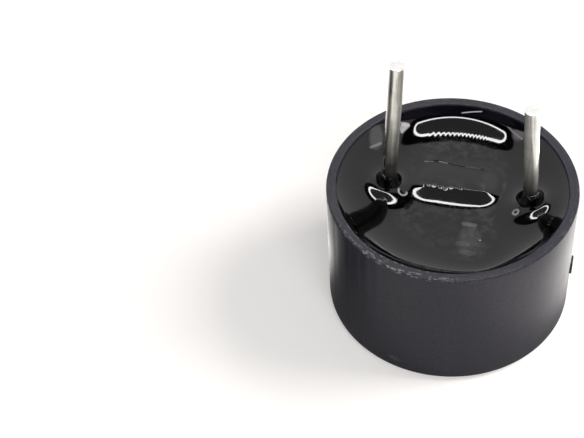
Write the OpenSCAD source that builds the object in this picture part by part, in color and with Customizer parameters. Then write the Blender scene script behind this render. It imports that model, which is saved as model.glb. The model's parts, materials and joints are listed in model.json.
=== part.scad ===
// Magnetic buzzer, self-driven, for through-hole fitting.
// It stands on the peel-off label that covers its sound face, with its two pins up.
// Origin: centre of the label's outer face. +Z: along the case axis, towards the pins.
// +X: from the positive pin to the negative pin. Millimetres.

/* [Case] */
// Outer diameter of the case
case_d = 12; // [11.6:0.1:15]
// Height of the case, from its sound face to its rim
case_h = 7.4; // [7.2:0.1:9.5]
// Thickness of the case wall
wall_t = 0.5; // [0.35:0.05:0.6]
// Thickness of the sound face
face_t = 0.8; // [0.5:0.05:1]
// Round on the outer edge of the sound face
face_edge_r = 0.3; // [0.1:0.05:0.45]
// Round on the outer and inner edges of the rim
rim_edge_r = 0.08; // [0.04:0.01:0.15]
// Diameter of the sound hole
sound_hole_d = 2.4; // [1:0.1:4]
// Height of the air space between the sound face and the diaphragm
front_air_h = 0.8; // [0.6:0.05:1]
// Width of the ledge that the diaphragm lies on
ledge_w = 0.7; // [0.4:0.05:1]
// Diameter of the moulding gate's stub on the side
gate_d = 0.9; // [0.5:0.1:1.5]
// Height of the gate's stub above the side
gate_stand = 0.1; // [0.05:0.01:0.2]

/* [Label] */
// Thickness of the peel-off label
label_t = 0.1; // [0.06:0.01:0.2]
// Diameter of the label's round part
label_d = 11.1; // [9:0.1:11.2]
// Width of the label's pull tab
tab_w = 5.5; // [3:0.1:8]
// Distance from the case axis to the end of the pull tab
tab_reach = 8.1; // [7:0.1:12]
// Corner radius of the pull tab
tab_corner_r = 1.2; // [0.4:0.1:1.5]

/* [Sounder] */
// Thickness of the diaphragm
diaphragm_t = 0.06; // [0.04:0.01:0.1]
// Diameter of the weight on the diaphragm
weight_d = 3; // [2:0.1:4]
// Thickness of the weight on the diaphragm
weight_t = 0.3; // [0.2:0.05:0.45]
// Height of the ring that holds the diaphragm off the magnet
ring_h = 1.9; // [1.8:0.05:2.3]
// Wall thickness of that ring
ring_t = 0.65; // [0.4:0.05:0.8]
// Height of the ring magnet
magnet_h = 1.45; // [1:0.05:1.6]
// Width of the ring magnet, from its hole to its edge
magnet_w = 1.25; // [0.8:0.05:1.5]
// Diameter of the pole core
core_d = 1.8; // [1.2:0.1:2.2]
// Diameter of the riveted end of the pole core
rivet_d = 1.2; // [0.8:0.1:1.6]
// Air gap between the pole core and the diaphragm
air_gap = 0.3; // [0.15:0.05:0.4]
// Height of the two coil windings
coil_h = 1.35; // [1:0.05:1.4]
// Width of the drive winding, from the core outwards
drive_w = 1.55; // [1.2:0.05:1.6]
// Thickness of the yoke plate
yoke_t = 0.5; // [0.4:0.05:0.8]

/* [Circuit] */
// Thickness of the circuit board
board_t = 0.6; // [0.4:0.1:0.8]
// Diameter of the two holes for the coil's lead wires
lead_hole_d = 0.8; // [0.6:0.05:1]
// Diameter of the coil's lead wires
lead_d = 0.1; // [0.06:0.01:0.14]
// Length of the transistor's body
transistor_l = 2.9; // [2.5:0.1:3.1]
// Width of the transistor's body
transistor_w = 1.3; // [1.1:0.1:1.5]
// Height of the transistor above the board
transistor_h = 1; // [0.8:0.05:1.1]
// Length of the base resistor
resistor_l = 1.6; // [1.4:0.1:2]
// Width of the base resistor
resistor_w = 0.8; // [0.6:0.1:1]
// Height of the base resistor
resistor_h = 0.45; // [0.35:0.05:0.6]
// Length of the clamp diode's body
diode_l = 1.7; // [1.5:0.1:1.9]
// Width of the clamp diode's body
diode_w = 1.25; // [1:0.05:1.4]
// Height of the clamp diode above the board
diode_h = 0.9; // [0.7:0.05:1]

/* [Pins] */
// Distance between the two pins where they leave the potting
pin_pitch = 6.9; // [6.2:0.1:7.2]
// Distance of the pins' midpoint from the case axis, along X
pin_shift_x = 0.3; // [0:0.05:0.35]
// Distance of the pins' midpoint from the case axis, along Y
pin_shift_y = 0.3; // [0:0.05:0.35]
// Diameter of the pins' free ends
pin_d = 0.7; // [0.5:0.05:0.7]
// Width across the flats of the pins' square roots, inside the potting
pin_root_w = 0.5; // [0.47:0.01:0.56]
// Free length of the positive pin above the potting
positive_l = 8; // [5:0.1:12]
// Free length of the negative pin above the potting
negative_l = 6.45; // [5:0.1:12]
// Lean of the positive pin towards the negative pin, in degrees
positive_lean = 2.9; // [0:0.1:4]
// Lean of the negative pin towards the positive pin, in degrees
negative_lean = 2.5; // [0:0.1:4]

/* [Potting] */
// Depth of the potting's level surface below the rim
potting_depth = 1.2; // [0.9:0.05:1.3]
// Height to which the potting creeps up the case wall
wall_creep_h = 0.35; // [0.1:0.05:0.5]
// Distance over which the creep at the wall dies away
wall_creep_w = 0.5; // [0.3:0.05:0.7]
// Height to which the potting creeps up the pins
pin_creep_h = 0.25; // [0.1:0.05:0.35]
// Distance over which the creep at the pins dies away
pin_creep_w = 0.3; // [0.15:0.05:0.4]

/* [Clearances] */
// Gap round each disc or ring that drops into the case bore
drop_in_gap = 0.1; // [0.05:0.01:0.15]
// Gap between the support ring and the magnet, and the magnet and the coil
ring_gap = 0.1; // [0.05:0.01:0.2]
// Gap round the pole core, in the coil and in the yoke plate
core_gap = 0.02; // [0.01:0.01:0.04]
// Gap between the two windings
winding_gap = 0.03; // [0.01:0.01:0.05]
// Gap between the corners of a pin's root and its hole in the board
pin_hole_gap = 0.12; // [0.08:0.01:0.16]
// Gap between the potting's creep and the round part of a pin
pin_free_gap = 0.02; // [0.02:0.01:0.05]

/* [Hidden] */
$fn = 96;

eps = 0.01;                 // how far a cut runs past the face it opens
case_r = case_d / 2;
bore_r = case_r - wall_t;
drop_in_r = bore_r - drop_in_gap;

// The stack, from the label's outer face up.
face_z = label_t;
rim_z = face_z + case_h;
ledge_z = face_z + face_t + front_air_h;
ring_z = ledge_z + diaphragm_t;
yoke_z = ring_z + ring_h;
board_z = yoke_z + yoke_t;
board_top_z = board_z + board_t;
potting_z = rim_z - potting_depth;

// Radii of the rings, each inside the one before.
ring_in_r = drop_in_r - ring_t;
magnet_r = ring_in_r - ring_gap;
magnet_in_r = magnet_r - magnet_w;
coil_r = magnet_in_r - ring_gap;
drive_in_r = core_d / 2 + core_gap;
drive_r = drive_in_r + drive_w;
feedback_in_r = drive_r + winding_gap;
coil_gap = 0.1;             // between the windings and the yoke plate
coil_top_z = yoke_z - coil_gap;
coil_z = coil_top_z - coil_h;

// Each winding's two lead wires go up through one hole, the drive winding's at +Y.
drive_lead_y = drive_r - 0.2;
feedback_lead_y = -(feedback_in_r + coil_r) / 2;
lead_pair_x = 0.18;         // half the distance between two lead wires in their hole
lead_end_x = 0.75;          // half the distance between their ends on the board
lead_lift = 0.12;           // height of their ends above the board
lead_bead_r = 0.35;         // radius of the solder bead on each end

// What stands on the board. The two chips lie either side of the feedback winding's beads.
fillet_h = 0.3;             // height of the solder at the chips' ends
fillet_l = 0.35;            // its reach along the board
diode_reach = 0.4;          // how far the diode's legs stand out of its body
diode_leg_w = 0.4;          // their width
chip_gap = 0.1;             // between a chip's solder and the nearest bead
chip_y = -2.2;
bead_side_x = lead_end_x + lead_bead_r + chip_gap + fillet_l;
diode_at = [bead_side_x + diode_reach + diode_l / 2, chip_y];
resistor_at = [-bead_side_x - resistor_l / 2, chip_y];
pin_joint_r = 0.85;         // radius of the solder cone at each pin
pin_joint_h = 0.55;         // its height
leg_t = 0.15;               // thickness of the transistor's and the diode's legs
leg_w = 0.4;                // width of the transistor's legs
leg_pitch = 1.9;            // distance between the two legs on one side
leg_reach = 0.55;           // how far they stand out of the body
body_lift = 0.06;           // gap between the board and a body that stands on legs
gate_angle = 1.5;             // round the case, from +X
gate_z = 2.95;              // height of the gate's centre

// Pins: where each leaves the potting, and its lean about Y.
positive_x = pin_shift_x - pin_pitch / 2;
negative_x = pin_shift_x + pin_pitch / 2;
pin_root_z = board_z + 0.06;
pin_root_r = pin_root_w / sqrt(2);
pin_hole_r = pin_root_r + pin_hole_gap;
pin_free_z = pin_creep_h + pin_free_gap;    // where the round part starts, above the potting

// Height of the potting's creep at a distance from what it creeps up; nothing is left at its reach.
function creep(distance, height, width, reach) = height * (exp(-distance / width) - exp(-reach / width));

// A disc or a ring standing on z.
module ring(r, h, z, in_r = 0) {
    translate([0, 0, z]) difference() {
        cylinder(r = r, h = h);
        if (in_r > 0) translate([0, 0, -eps]) cylinder(r = in_r, h = h + 2 * eps);
    }
}

// A wire of round section along straight stretches between points.
module wire(points, d) {
    for (i = [0 : len(points) - 2]) {
        span = points[i + 1] - points[i];
        turn = atan2(span.y, span.x);
        fall = acos(span.z / norm(span));
        translate(points[i]) rotate([0, fall, turn]) cylinder(d = d, h = norm(span), $fn = 24);
        if (i > 0) translate(points[i]) sphere(d = d, $fn = 24);
    }
}

// The square corner of a profile at the origin, less its round: cut away from a section.
module corner_cut(r) {
    difference() {
        square(r + eps);
        circle(r = r);
    }
}

// A corner of a section rounded where it points along (sx, sy).
module round_off(at, sx, sy, r) {
    translate([at.x - sx * r, at.y - sy * r]) mirror([sx < 0 ? 1 : 0, 0]) mirror([0, sy < 0 ? 1 : 0])
        corner_cut(r);
}

module case_section() {
    difference() {
        translate([0, face_z]) square([case_r, case_h]);
        translate([-eps, ledge_z]) square([bore_r + eps, case_h]);
        translate([-eps, face_z + face_t]) square([bore_r - ledge_w + eps, case_h]);
        translate([-eps, 0]) square([sound_hole_d / 2 + eps, case_h]);
        round_off([case_r, face_z], 1, -1, face_edge_r);
        round_off([case_r, rim_z], 1, 1, rim_edge_r);
        round_off([bore_r, rim_z], -1, 1, rim_edge_r);
    }
}

module case() {
    color([0.13, 0.13, 0.15]) {
        rotate_extrude() case_section();
        rotate([0, 0, gate_angle]) translate([case_r - wall_t / 2, 0, gate_z]) rotate([0, 90, 0])
            cylinder(d = gate_d, h = wall_t / 2 + gate_stand);
    }
}

module wash_label() {
    corner_x = tab_w / 2 - tab_corner_r;
    corner_y = tab_reach - tab_corner_r;
    color([0.95, 0.96, 0.98]) linear_extrude(label_t) {
        circle(d = label_d);
        translate([-tab_w / 2, 0]) square([tab_w, corner_y]);
        translate([-corner_x, 0]) square([2 * corner_x, tab_reach]);
        for (side = [-1, 1]) translate([side * corner_x, corner_y]) circle(r = tab_corner_r);
    }
}

module diaphragm() {
    color([0.62, 0.64, 0.66]) ring(drop_in_r, diaphragm_t, ledge_z);
}

module diaphragm_weight() {
    color([0.5, 0.52, 0.55]) ring(weight_d / 2, weight_t, ledge_z - weight_t);
}

module support_ring() {
    color([0.78, 0.68, 0.4]) ring(drop_in_r, ring_h, ring_z, ring_in_r);
}

module ring_magnet() {
    color([0.22, 0.22, 0.23]) ring(magnet_r, magnet_h, yoke_z - magnet_h, magnet_in_r);
}

module pole_core() {
    core_z = ring_z + air_gap;
    color([0.6, 0.61, 0.63]) {
        ring(core_d / 2, yoke_z - core_z, core_z);
        ring(rivet_d / 2, yoke_t + eps, yoke_z - eps);
    }
}

// The two holes for lead wires, through a plate at height z.
module lead_holes(z, h) {
    for (y = [drive_lead_y, feedback_lead_y])
        translate([0, y, z - eps]) cylinder(d = lead_hole_d, h = h + 2 * eps);
}

module yoke_plate() {
    color([0.58, 0.6, 0.62]) difference() {
        ring(drop_in_r, yoke_t, yoke_z, rivet_d / 2 + core_gap);
        lead_holes(yoke_z, yoke_t);
    }
}

function lead_end(side, y) = [side * lead_end_x, y, board_top_z + lead_lift];

// A winding's lead wire, from the winding up through the board and over to its pad.
module lead(side, y) {
    bend_z = board_top_z + lead_lift;
    wire([[side * lead_pair_x, y, coil_top_z - lead_d], [side * lead_pair_x, y, bend_z], lead_end(side, y)],
        lead_d);
}

module drive_leads() { for (side = [-1, 1]) lead(side, drive_lead_y); }

module feedback_leads() { for (side = [-1, 1]) lead(side, feedback_lead_y); }

module drive_winding() {
    color([0.72, 0.38, 0.16]) {
        ring(drive_r, coil_h, coil_z, drive_in_r);
        drive_leads();
    }
}

module feedback_winding() {
    color([0.78, 0.45, 0.2]) {
        ring(coil_r, coil_h, coil_z, feedback_in_r);
        feedback_leads();
    }
}

// The axis of a pin, with its origin where the pin leaves the potting.
module on_pin(x, lean) { translate([x, pin_shift_y, potting_z]) rotate([0, lean, 0]) children(); }

module on_positive() { on_pin(positive_x, positive_lean) children(); }

module on_negative() { on_pin(negative_x, -negative_lean) children(); }

// A pin's root, which is pressed square so that it can't turn in the potting.
module pin_root(lean) {
    root_l = (potting_z - pin_root_z) / cos(lean);
    translate([-pin_root_w / 2, -pin_root_w / 2, -root_l])
        cube([pin_root_w, pin_root_w, root_l + pin_free_z + eps]);
}

module pin(lean, free_l) {
    pin_root(lean);
    translate([0, 0, pin_free_z]) cylinder(d = pin_d, h = free_l - pin_free_z);
}

module pin_positive() { color([0.8, 0.79, 0.75]) on_positive() pin(positive_lean, positive_l); }

module pin_negative() { color([0.8, 0.79, 0.75]) on_negative() pin(negative_lean, negative_l); }

module both_roots() {
    on_positive() pin_root(positive_lean);
    on_negative() pin_root(negative_lean);
}

// Where a leaning pin passes the board's mid-plane.
function board_x(x, lean) = x - (potting_z - board_z - board_t / 2) * tan(lean);

module at_pin_holes() {
    for (x = [board_x(positive_x, positive_lean), board_x(negative_x, -negative_lean)])
        translate([x, pin_shift_y, board_z]) children();
}

module circuit_board() {
    color([0.75, 0.62, 0.36]) difference() {
        ring(drop_in_r, board_t, board_z);
        lead_holes(board_z, board_t);
        at_pin_holes() translate([0, 0, -eps]) cylinder(r = pin_hole_r, h = board_t + 2 * eps);
    }
}

// A bent leg that leaves a body's side at y = 0 and stands on the board at +Y.
module leg(w, leave_z, reach) {
    shin_y = (reach - leg_t) / 2;
    translate([-w / 2, -eps, leave_z]) cube([w, shin_y + leg_t + eps, leg_t]);
    translate([-w / 2, shin_y, 0]) cube([w, leg_t, leave_z + leg_t]);
    translate([-w / 2, shin_y, 0]) cube([w, reach - shin_y, leg_t]);
}

module transistor_legs() {
    leave_z = transistor_h / 2;
    for (x = [-leg_pitch / 2, leg_pitch / 2]) translate([x, transistor_w / 2, 0])
        leg(leg_w, leave_z, leg_reach);
    rotate([0, 0, 180]) translate([0, transistor_w / 2, 0]) leg(leg_w, leave_z, leg_reach);
}

module oscillator_transistor() {
    color([0.12, 0.12, 0.13]) translate([0, 0, board_top_z]) {
        translate([-transistor_l / 2, -transistor_w / 2, body_lift])
            cube([transistor_l, transistor_w, transistor_h - body_lift]);
        transistor_legs();
    }
}

module base_resistor() {
    color([0.1, 0.1, 0.11]) translate([resistor_at.x, resistor_at.y, board_top_z])
        translate([-resistor_l / 2, -resistor_w / 2, 0]) cube([resistor_l, resistor_w, resistor_h]);
}

module clamp_diode() {
    color([0.14, 0.14, 0.15]) translate([diode_at.x, diode_at.y, board_top_z]) {
        translate([-diode_l / 2, -diode_w / 2, body_lift])
            cube([diode_l, diode_w, diode_h - body_lift]);
        for (turn = [90, -90]) rotate([0, 0, turn]) translate([0, diode_l / 2, 0])
            leg(diode_leg_w, diode_h / 2, diode_reach);
    }
}

// A wedge of solder that starts at x = 0 and runs out along +X.
module fillet(w) {
    translate([0, w / 2, 0]) rotate([90, 0, 0]) linear_extrude(w)
        polygon([[0, 0], [fillet_l, 0], [0, fillet_h]]);
}

module chip_solder_joints() {
    toe = transistor_w / 2 + leg_reach;
    color([0.74, 0.75, 0.77]) translate([0, 0, board_top_z]) {
        for (x = [-leg_pitch / 2, leg_pitch / 2]) translate([x, toe, 0]) rotate([0, 0, 90]) fillet(leg_w);
        translate([0, -toe, 0]) rotate([0, 0, -90]) fillet(leg_w);
        for (side = [0, 180]) {
            translate([resistor_at.x, resistor_at.y, 0]) rotate([0, 0, side])
                translate([resistor_l / 2, 0, 0]) fillet(resistor_w);
            translate([diode_at.x, diode_at.y, 0]) rotate([0, 0, side])
                translate([diode_l / 2 + diode_reach, 0, 0]) fillet(diode_leg_w);
        }
    }
}

// Half beads of solder on the ends of the lead wires, with the wires left out if bare is true.
module lead_beads(bare) {
    for (y = [drive_lead_y, feedback_lead_y], side = [-1, 1]) difference() {
        translate([lead_end(side, y).x, y, board_top_z]) intersection() {
            sphere(r = lead_bead_r, $fn = 48);
            cylinder(r = lead_bead_r, h = lead_bead_r);
        }
        if (bare) lead(side, y);
    }
}

module coil_solder_joints() { color([0.72, 0.73, 0.75]) lead_beads(true); }

module pin_joint_cones() {
    at_pin_holes() translate([0, 0, board_t])
        cylinder(r1 = pin_joint_r, r2 = pin_root_r, h = pin_joint_h);
}

module pin_solder_joints() {
    color([0.74, 0.75, 0.77]) difference() {
        union() {
            pin_joint_cones();
            at_pin_holes() cylinder(r = pin_hole_r, h = board_t + eps);
        }
        both_roots();
    }
}

creep_steps = 10;           // points along each curve of the creep
creep_reach = 4;            // where it ends, in widths of the creep

// Section of the potting: level in the middle, and creeping up the case wall.
module potting_section() {
    reach = creep_reach * wall_creep_w;
    rise = [for (i = [creep_steps : -1 : 0]) let (d = reach * pow(i / creep_steps, 2))
        [bore_r - d, potting_z + creep(d, wall_creep_h, wall_creep_w, reach)]];
    polygon(concat([[0, board_top_z], [0, potting_z]], rise, [[bore_r, board_top_z]]));
}

// Section of the potting that creeps up a pin, from the pin's own axis outwards.
module pin_creep_section() {
    reach = creep_reach * pin_creep_w;
    fall = [for (i = [0 : creep_steps]) let (d = reach * pow(i / creep_steps, 2))
        [pin_root_r + d, creep(d, pin_creep_h, pin_creep_w, reach)]];
    polygon(concat([[0, -pin_creep_h], [0, fall[0].y]], fall, [[pin_root_r + reach, -pin_creep_h]]));
}

module potting() {
    color([0.05, 0.05, 0.06]) difference() {
        union() {
            rotate_extrude() potting_section();
            for (x = [positive_x, negative_x]) translate([x, pin_shift_y, potting_z])
                rotate_extrude() pin_creep_section();
        }
        both_roots();
        pin_joint_cones();
        oscillator_transistor();
        base_resistor();
        clamp_diode();
        chip_solder_joints();
        lead_beads(false);
        drive_leads();
        feedback_leads();
    }
}

case();
wash_label();
diaphragm();
diaphragm_weight();
support_ring();
ring_magnet();
pole_core();
yoke_plate();
drive_winding();
feedback_winding();
circuit_board();
oscillator_transistor();
base_resistor();
clamp_diode();
chip_solder_joints();
coil_solder_joints();
pin_solder_joints();
pin_positive();
pin_negative();
potting();
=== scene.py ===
# %% [markdown]
# # A magnetic buzzer, from frame to finish
#
# The object is a small round sounder for a circuit board. A black moulded case holds a coil, a
# magnet and a steel disc. Two tinned pins come out of one end, through a pool of glossy black
# potting, and a peel-off paper label covers the other end.
#
# The CAD model is loaded as a frame that never moves. Around it this lesson models the pieces that
# show: the case, the label, the potting and the two pins. The parts inside keep their CAD shape and
# get a finish each.

# %% Load the frame
import json
import math

import bmesh
import bpy
from mathutils import Matrix, Vector


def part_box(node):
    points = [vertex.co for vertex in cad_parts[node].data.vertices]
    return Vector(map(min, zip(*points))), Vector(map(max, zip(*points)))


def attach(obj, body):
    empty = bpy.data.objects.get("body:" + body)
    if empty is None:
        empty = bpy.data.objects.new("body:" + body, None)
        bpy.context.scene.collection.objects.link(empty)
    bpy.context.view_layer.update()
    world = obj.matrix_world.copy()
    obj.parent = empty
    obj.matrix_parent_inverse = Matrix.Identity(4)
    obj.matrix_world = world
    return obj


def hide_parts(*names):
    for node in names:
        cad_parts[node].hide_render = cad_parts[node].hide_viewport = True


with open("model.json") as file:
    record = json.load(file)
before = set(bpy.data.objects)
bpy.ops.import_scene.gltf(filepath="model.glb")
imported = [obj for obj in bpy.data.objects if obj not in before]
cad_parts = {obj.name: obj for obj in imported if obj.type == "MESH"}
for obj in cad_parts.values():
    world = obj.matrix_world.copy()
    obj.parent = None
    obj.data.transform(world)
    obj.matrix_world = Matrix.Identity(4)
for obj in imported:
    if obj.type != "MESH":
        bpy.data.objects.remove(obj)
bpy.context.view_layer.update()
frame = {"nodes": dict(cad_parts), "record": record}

MM = 0.001
nodes = frame["nodes"]
print("CAD nodes:", len(nodes))


# %% [markdown]
# ## Working by hand, in code
#
# Every piece starts as a primitive and is shaped with edit-mode operators. An operator acts on
# whatever is selected, so each step first says which faces or edges it means. They are found by
# where they are, as a hand would pick them, and never by their number.

# %% Small helpers for modelling
def focus(piece):
    """Makes one object the only selected one and the active one."""
    bpy.ops.object.select_all(action="DESELECT")
    piece.select_set(True)
    bpy.context.view_layer.objects.active = piece


def edit(piece):
    focus(piece)
    bpy.ops.object.mode_set(mode="EDIT")
    bpy.ops.mesh.select_all(action="DESELECT")


def leave_edit():
    bpy.ops.object.mode_set(mode="OBJECT")


def pick(piece, kind, test):
    """In edit mode, selects only the faces or edges that pass the test."""
    bpy.ops.mesh.select_mode(type=kind)
    bpy.ops.mesh.select_all(action="DESELECT")
    mesh = bmesh.from_edit_mesh(piece.data)
    found = [part for part in (mesh.faces if kind == "FACE" else mesh.edges) if test(part)]
    for part in found:
        part.select_set(True)
    mesh.select_flush_mode()
    bmesh.update_edit_mesh(piece.data)
    print("picked", len(found), kind.lower() + "(s) of", piece.name)


TOUCH = 0.01 * MM            # closer than this is at the same place
FACING = 0.9                 # a face looks along an axis if its normal goes this far along it


def is_at(z, up):
    """A test for faces that lie at height z and look up, or down."""
    return lambda face: abs(face.calc_center_median().z - z) < TOUCH and face.normal.z * up > FACING


def is_circle(r, z):
    """A test for edges on the circle of radius r at height z."""
    def test(edge):
        ends = [vert.co for vert in edge.verts]
        return all(abs(co.xy.length - r) < 2 * TOUCH and abs(co.z - z) < 2 * TOUCH for co in ends)
    return test


def inset(width, rise=0):
    bpy.ops.mesh.inset(thickness=width, depth=rise)


def extrude(x=0, y=0, z=0):
    bpy.ops.mesh.extrude_region_move(TRANSFORM_OT_translate={"value": (x, y, z)})


def bevel(width, steps):
    bpy.ops.mesh.bevel(offset=width, segments=steps, profile=0.5, affect="EDGES")


def name_it(name):
    piece = bpy.context.active_object
    piece.name = name
    piece.data.name = name
    return piece


def apply_place(piece):
    """Puts the piece's place, turn and size into its mesh."""
    focus(piece)
    bpy.ops.object.transform_apply(location=True, rotation=True, scale=True)


def new_cylinder(name, radius, low, high, sides):
    """A cylinder round the Z axis, between two heights."""
    bpy.ops.object.select_all(action="DESELECT")
    bpy.ops.mesh.primitive_cylinder_add(
        vertices=sides, radius=radius, depth=high - low, location=(0, 0, (low + high) / 2)
    )
    piece = name_it(name)
    apply_place(piece)
    return piece


def join(piece, other):
    """Fuses another closed piece into this one with a Boolean."""
    focus(piece)
    union = piece.modifiers.new("union", "BOOLEAN")
    union.operation = "UNION"
    union.solver = "EXACT"
    union.object = other
    bpy.ops.object.modifier_apply(modifier=union.name)
    bpy.data.objects.remove(other)


def settle(piece, angle=35):
    """Puts the piece's place into its mesh, and smooths it except over sharp edges."""
    apply_place(piece)
    bpy.ops.object.shade_smooth_by_angle(angle=math.radians(angle))
    print(piece.name, "has", len(piece.data.polygons), "faces")
    return piece


def hand_in(piece, node, material):
    """Gives a piece its finish, hangs it under the root body and hides the CAD part that it stands for.
    """
    piece.data.materials.clear()
    piece.data.materials.append(material)
    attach(piece, "root")
    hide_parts(node)
    print(piece.name, "stands for", node, "in", material.name)


# %% [markdown]
# ## The camera
#
# The camera stands about 80 mm away and looks down at about 48 degrees, as someone looks at a small
# part that they have put on a bench. At that distance the near plane has to be closer than usual.

# %% The camera
CAMERA_PLACE = Vector((7.198, -48.745, 59.7)) * MM
CAMERA_HEADING = -0.3035     # radians from +Y, positive towards +X
CAMERA_TILT = 0.836          # radians below level
CAMERA_ROLL = -0.069
CAMERA_LENS = 92.63          # millimetres, for a sensor 36 mm wide

camera_data = bpy.data.cameras.new("camera")
camera_data.lens = CAMERA_LENS
camera_data.sensor_width = 36
camera_data.clip_start = 1 * MM
camera = bpy.data.objects.new("camera", camera_data)
bpy.context.scene.collection.objects.link(camera)
turn = (
    Matrix.Rotation(-CAMERA_HEADING, 4, "Z")
    @ Matrix.Rotation(math.pi / 2 - CAMERA_TILT, 4, "X")
    @ Matrix.Rotation(CAMERA_ROLL, 4, "Z")
)
camera.matrix_world = Matrix.Translation(CAMERA_PLACE) @ turn
bpy.context.scene.camera = camera
print("camera is", round(CAMERA_PLACE.length / MM, 1), "mm from the label's centre")


# %% [markdown]
# ## Finishes from nodes
#
# No surface is one flat colour. A moulding varies in tone and gloss, paper has fibres, and tin keeps
# the marks of the dies that drew it. Four effects come back on many parts, so each is a node group
# with its own sockets: *mottle* for slow changes of tone and gloss, *streaks* for marks that run
# along one axis, *specks* for sparse marks, and *stroke* for one line, printed or smeared. All of
# them work on Object coordinates, which stay with the piece when it moves.
#
# A node tree is easier to read as sums. So each helper adds one node, feeds it with fixed values or
# with links, and returns what the node puts out, ready to be fed to the next.

# %% Helpers that add and feed nodes
def feed(tree, socket, source):
    """Gives a socket a fixed value, or links it to what another node puts out."""
    if isinstance(source, bpy.types.NodeSocket):
        tree.links.new(source, socket)
    else:
        socket.default_value = source


def give(tree, node, **inputs):
    """Feeds a node's sockets by their names, with _ for a space."""
    for name, source in inputs.items():
        feed(tree, node.inputs[name.replace("_", " ")], source)
    return node


def add_node(tree, kind, settings=None, **inputs):
    """A new node. Settings are its own options, and inputs are for its sockets."""
    node = tree.nodes.new(kind)
    for option, value in (settings or {}).items():
        setattr(node, option, value)
    return give(tree, node, **inputs)


def calculate(tree, operation, first, *others):
    """One number from several, taken in turn. An operation on one number needs no others."""
    for other in others or (0.0,):
        node = add_node(tree, "ShaderNodeMath", {"operation": operation})
        feed(tree, node.inputs[0], first)
        feed(tree, node.inputs[1], other)
        first = node.outputs["Value"]
    return first


def product(tree, *factors):
    return calculate(tree, "MULTIPLY", *factors)


def vector_math(tree, operation, first, second=(0, 0, 0)):
    """One operation on vectors. A length or a dot product comes out as a number."""
    node = add_node(tree, "ShaderNodeVectorMath", {"operation": operation})
    feed(tree, node.inputs[0], first)
    feed(tree, node.inputs[1], second)
    return node.outputs["Value" if operation in ("LENGTH", "DOT_PRODUCT") else "Vector"]


def combine(tree, **axes):
    return add_node(tree, "ShaderNodeCombineXYZ", **axes).outputs["Vector"]


def spread(tree, value, low, high, to_low=0.0, to_high=1.0):
    """Stretches the range from low to high over the range from to_low to to_high, and clamps it."""
    return add_node(tree, "ShaderNodeMapRange", Value=value, From_Min=low, From_Max=high,
                    To_Min=to_low, To_Max=to_high).outputs["Result"]


def near(tree, value, centre, half, soft):
    """1 within half of the centre, and 0 from half and soft on."""
    away = calculate(tree, "ABSOLUTE", calculate(tree, "SUBTRACT", value, centre))
    return spread(tree, away, half + soft, half)


def mix_colour(tree, factor, first, second, blend="MIX"):
    node = add_node(tree, "ShaderNodeMix", {"data_type": "RGBA", "blend_type": blend})
    for index, source in zip((0, 6, 7), (factor, first, second)):
        feed(tree, node.inputs[index], source)
    return node.outputs[2]


def paint(tree, colour, *coats):
    """Lays coats over a colour, one on the other. Each is a mask and a colour."""
    for mask, coat in coats:
        colour = mix_colour(tree, mask, colour, coat)
    return colour


# %% Helpers for places on a piece
FLAT = (1, 1, 0)             # a stretch that leaves the height out


def object_place(tree):
    """The Object coordinates, in metres."""
    return tree.nodes.new("ShaderNodeTexCoord").outputs["Object"]


def face_normal(tree):
    return tree.nodes.new("ShaderNodeNewGeometry").outputs["Normal"]


def axis_of(tree, vector, axis):
    return add_node(tree, "ShaderNodeSeparateXYZ", Vector=vector).outputs[axis]


def object_axis(tree, axis):
    return axis_of(tree, object_place(tree), axis)


def distance_to(tree, x, y, z, stretch=(1, 1, 1)):
    """Distance from a point, in metres, with each axis stretched by its own factor."""
    away = vector_math(tree, "SUBTRACT", object_place(tree), (x, y, z))
    return vector_math(tree, "LENGTH", vector_math(tree, "MULTIPLY", away, stretch))


def object_radius(tree):
    """Distance from the object's Z axis, in metres."""
    return distance_to(tree, 0, 0, 0, FLAT)


def noise(tree, vector, **inputs):
    return add_node(tree, "ShaderNodeTexNoise", Vector=vector, **inputs).outputs["Fac"]


# %% A new node group
def new_group(name, inputs, outputs):
    """An empty node group with named sockets, what it is given, and the node for what it makes."""
    tree = bpy.data.node_groups.new(name, "ShaderNodeTree")
    for socket, (kind, value) in inputs.items():
        made = tree.interface.new_socket(socket, in_out="INPUT", socket_type="NodeSocket" + kind)
        if value is not None:
            made.default_value = value
    for socket, kind in outputs.items():
        tree.interface.new_socket(socket, in_out="OUTPUT", socket_type="NodeSocket" + kind)
    return tree, tree.nodes.new("NodeGroupInput").outputs, tree.nodes.new("NodeGroupOutput")


# %% The mottle group: slow changes of tone and gloss
def build_mottle():
    tree, given, made = new_group(
        "mottle",
        {"Scale": ("Float", 600.0), "Contrast": ("Float", 1.0),
         "Dark": ("Color", None), "Light": ("Color", None),
         "Gloss low": ("Float", 0.4), "Gloss high": ("Float", 0.5)},
        {"Colour": "Color", "Roughness": "Float", "Height": "Float"},
    )
    cloud = noise(tree, object_place(tree), Scale=given["Scale"], Detail=5.0, Roughness=0.6)
    half = calculate(tree, "DIVIDE", 0.25, given["Contrast"])
    level = spread(tree, cloud, calculate(tree, "SUBTRACT", 0.5, half),
                   calculate(tree, "ADD", 0.5, half))
    give(tree, made, Colour=mix_colour(tree, level, given["Dark"], given["Light"]), Height=cloud,
         Roughness=spread(tree, level, 0.0, 1.0, given["Gloss low"], given["Gloss high"]))
    return tree


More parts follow.
